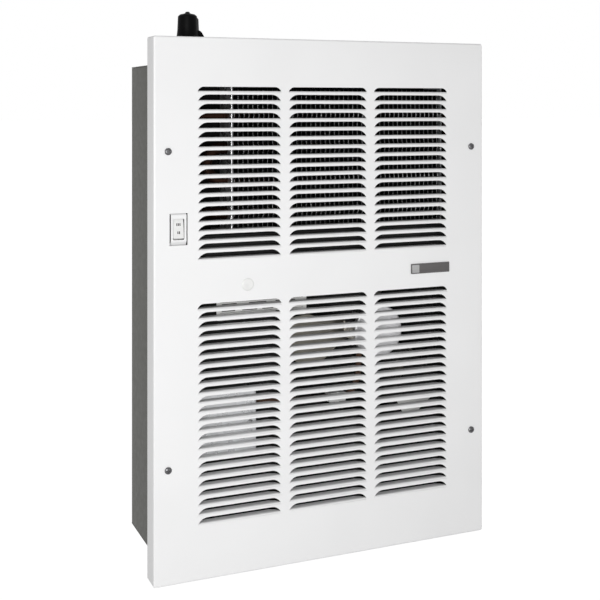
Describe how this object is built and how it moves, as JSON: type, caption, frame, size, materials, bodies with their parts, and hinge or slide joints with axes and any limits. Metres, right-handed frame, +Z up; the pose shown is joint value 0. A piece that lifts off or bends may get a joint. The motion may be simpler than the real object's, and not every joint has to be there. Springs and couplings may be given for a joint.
{
  "type": "fan convector heater",
  "caption": "Recessed hot-water fan convector: louvred white front cover on a grey wall can, finned copper coil above, motor and propeller fan below, rocker speed switch and capped pipe stubs.",
  "frame": {"origin": "centre of the wall can's flat back face", "axes": "+Y points into the wall, out of the can's back; the louvred cover faces -Y; +Z is up; +X is right seen from the front"},
  "size_m": [0.472, 0.1307, 0.7165],
  "materials": {
    "can_wrapper": "satin grey",
    "can_top": "satin grey",
    "can_bottom": "satin grey",
    "cover_bracket_top_left": "galvanised",
    "cover_bracket_top_right": "galvanised",
    "cover_bracket_bottom_left": "galvanised",
    "cover_bracket_bottom_right": "galvanised",
    "front_cover": "satin white powder coat",
    "cover_screw_top_left": "dark zinc",
    "cover_screw_top_right": "dark zinc",
    "cover_screw_bottom_left": "dark zinc",
    "cover_screw_bottom_right": "dark zinc",
    "hole_plug": "white",
    "badge_plate": "dark brushed, blank",
    "switch_bracket": "satin white powder coat",
    "switch_body": "black",
    "switch_rocker": "white",
    "coil_fins": "mill finish",
    "coil_end_plate_left": "galvanised",
    "coil_end_plate_right": "galvanised",
    "coil_tube": "bare copper",
    "supply_fitting": "bare brass",
    "return_fitting": "bare brass",
    "supply_cap": "black polyethylene",
    "return_cap": "black polyethylene",
    "bleed_valve": "bare brass",
    "bleed_screw": "bare brass",
    "coil_shelf": "galvanised",
    "rating_plate": "light grey, blank",
    "fan_deck": "galvanised",
    "fan_ring": "galvanised",
    "motor_bracket": "galvanised",
    "motor_housing": "bright zinc",
    "motor_end_cap": "bright zinc",
    "motor_stator": "laminated steel",
    "motor_rotor": "laminated steel",
    "motor_shaft": "ground steel",
    "motor_bearing_front": "sintered bronze",
    "motor_bearing_rear": "sintered bronze",
    "fan_hub": "cast",
    "fan_blades": "stamped sheet",
    "wiring_box": "galvanised",
    "wiring_box_cover": "galvanised",
    "wiring_box_screw_left": "bright zinc",
    "wiring_box_screw_right": "bright zinc",
    "terminal_block": "black",
    "lead_bushing": "black nylon",
    "cable_connector": "die-cast zinc look",
    "ground_screw": "green",
    "thermostat_clip": "spring steel",
    "thermostat": "black phenolic",
    "motor_leads": "brown sleeve",
    "lead_connector": "white nylon",
    "switch_leads": "brown sleeve",
    "thermostat_leads": "brown sleeve"
  },
  "bodies": {
    "chassis": {"can_wrapper": "can_wrapper", "can_top": "can_top", "can_bottom": "can_bottom", "cover_bracket_top_left": "cover_bracket_top_left", "cover_bracket_top_right": "cover_bracket_top_right", "cover_bracket_bottom_left": "cover_bracket_bottom_left", "cover_bracket_bottom_right": "cover_bracket_bottom_right", "switch_bracket": "switch_bracket", "switch_body": "switch_body", "coil_fins": "coil_fins", "coil_end_plate_left": "coil_end_plate_left", "coil_end_plate_right": "coil_end_plate_right", "coil_tube": "coil_tube", "supply_fitting": "supply_fitting", "return_fitting": "return_fitting", "bleed_valve": "bleed_valve", "coil_shelf": "coil_shelf", "rating_plate": "rating_plate", "fan_deck": "fan_deck", "fan_ring": "fan_ring", "motor_bracket": "motor_bracket", "motor_housing": "motor_housing", "motor_end_cap": "motor_end_cap", "motor_stator": "motor_stator", "motor_bearing_front": "motor_bearing_front", "motor_bearing_rear": "motor_bearing_rear", "wiring_box": "wiring_box", "wiring_box_cover": "wiring_box_cover", "wiring_box_screw_left": "wiring_box_screw_left", "wiring_box_screw_right": "wiring_box_screw_right", "terminal_block": "terminal_block", "lead_bushing": "lead_bushing", "cable_connector": "cable_connector", "ground_screw": "ground_screw", "thermostat_clip": "thermostat_clip", "thermostat": "thermostat", "motor_leads": "motor_leads", "lead_connector": "lead_connector", "switch_leads": "switch_leads", "thermostat_leads": "thermostat_leads"},
    "cover": {"front_cover": "front_cover", "hole_plug": "hole_plug", "badge_plate": "badge_plate", "cover_screw_top_left": "cover_screw_top_left", "cover_screw_top_right": "cover_screw_top_right", "cover_screw_bottom_left": "cover_screw_bottom_left", "cover_screw_bottom_right": "cover_screw_bottom_right"},
    "rocker": {"switch_rocker": "switch_rocker"},
    "fan": {"motor_shaft": "motor_shaft", "motor_rotor": "motor_rotor", "fan_hub": "fan_hub", "fan_blades": "fan_blades"},
    "supply_cap_body": {"supply_cap": "supply_cap"},
    "return_cap_body": {"return_cap": "return_cap"},
    "vent_screw": {"bleed_screw": "bleed_screw"}
  },
  "joints": [
    {"name": "cover_lift_off", "type": "slide", "parent": "chassis", "child": "cover", "axis": [0, -1, 0], "range_m": [0, 0.12]},
    {"name": "rocker_tip", "type": "hinge", "parent": "chassis", "child": "rocker", "pos_m": [-0.204, -0.1195, 0.1002], "axis": [1, 0, 0], "range_deg": [0, 14]},
    {"name": "fan_spin", "type": "hinge", "parent": "chassis", "child": "fan", "pos_m": [0.086, -0.052, -0.054], "axis": [0, 1, 0], "continuous": true},
    {"name": "supply_cap_pull", "type": "slide", "parent": "chassis", "child": "supply_cap_body", "axis": [0, 0, 1], "range_m": [0, 0.04]},
    {"name": "return_cap_pull", "type": "slide", "parent": "chassis", "child": "return_cap_body", "axis": [0, 0, 1], "range_m": [0, 0.04]},
    {"name": "vent_screw_turn", "type": "hinge", "parent": "chassis", "child": "vent_screw", "pos_m": [-0.1725, -0.08, 0.278], "axis": [0, 1, 0], "range_deg": [0, 360]}
  ]
}
